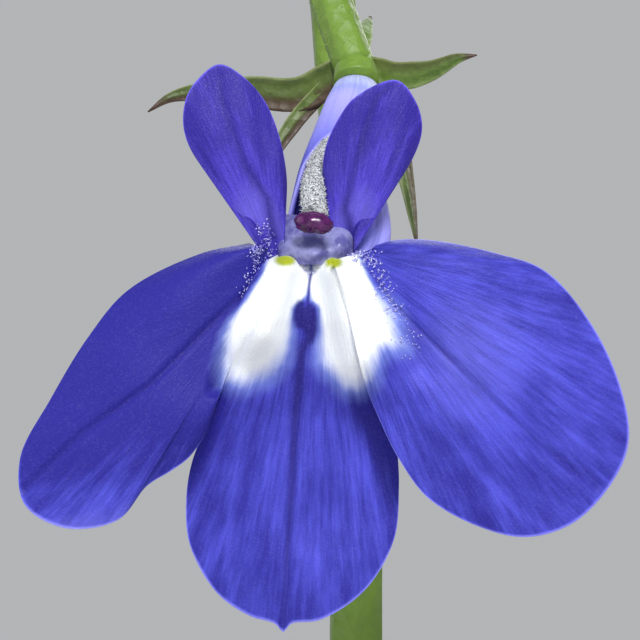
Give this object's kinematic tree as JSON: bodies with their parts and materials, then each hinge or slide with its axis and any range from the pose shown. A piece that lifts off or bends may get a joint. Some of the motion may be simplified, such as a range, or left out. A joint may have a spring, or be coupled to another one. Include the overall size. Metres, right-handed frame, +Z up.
{
  "type": "potted upright lobelia",
  "caption": "Bushy upright lobelia with toothed and narrow leaves and blue-violet, white-eyed, two-lipped flowers, in a plain tapered terracotta pot.",
  "frame": {"origin": "centre of the pot's flat base, on the surface it stands on", "axes": "+Z up along the pot's axis; -Y towards the front, where the tallest flower faces"},
  "size_m": [0.1195, 0.1232, 0.1913],
  "materials": {
    "terracotta": "matte",
    "soil": "matte",
    "foliage": "satin",
    "front_petal": "satin",
    "anther": "matte",
    "stigma": "satin",
    "petal": "satin"
  },
  "bodies": {
    "root": {"pot": "terracotta", "soil": "soil", "stem_front": "foliage", "stem_01": "foliage", "stem_02": "foliage", "stem_03": "foliage", "stem_04": "foliage", "stem_05": "foliage", "stem_06": "foliage", "stem_07": "foliage", "stem_08": "foliage", "stem_09": "foliage", "stem_10": "foliage", "stem_11": "foliage", "stem_12": "foliage", "front_corolla": "front_petal", "front_anthers": "anther", "front_stigma": "stigma", "bloom_01": "petal", "bloom_02": "petal", "bloom_03": "petal", "bloom_04": "petal", "bloom_05": "petal", "bloom_06": "petal", "bloom_07": "petal", "bloom_08": "petal", "bloom_09": "petal", "bloom_10": "petal", "bloom_11": "petal", "bloom_12": "petal", "bloom_13": "petal", "bloom_14": "petal", "bloom_15": "petal", "bloom_16": "petal", "bloom_17": "petal", "bloom_18": "petal", "bloom_19": "petal", "bloom_20": "petal", "bloom_21": "petal", "bloom_22": "petal", "bloom_23": "petal", "bloom_24": "petal", "bloom_25": "petal", "bloom_26": "petal", "bloom_27": "petal", "bloom_28": "petal", "bloom_29": "petal", "bloom_30": "petal", "bloom_31": "petal", "bloom_32": "petal", "bloom_33": "petal", "bloom_34": "petal", "bloom_35": "petal", "bloom_36": "petal", "bloom_37": "petal", "bloom_38": "petal", "bloom_39": "petal", "bloom_40": "petal", "bloom_41": "petal"}
  },
  "joints": []
}
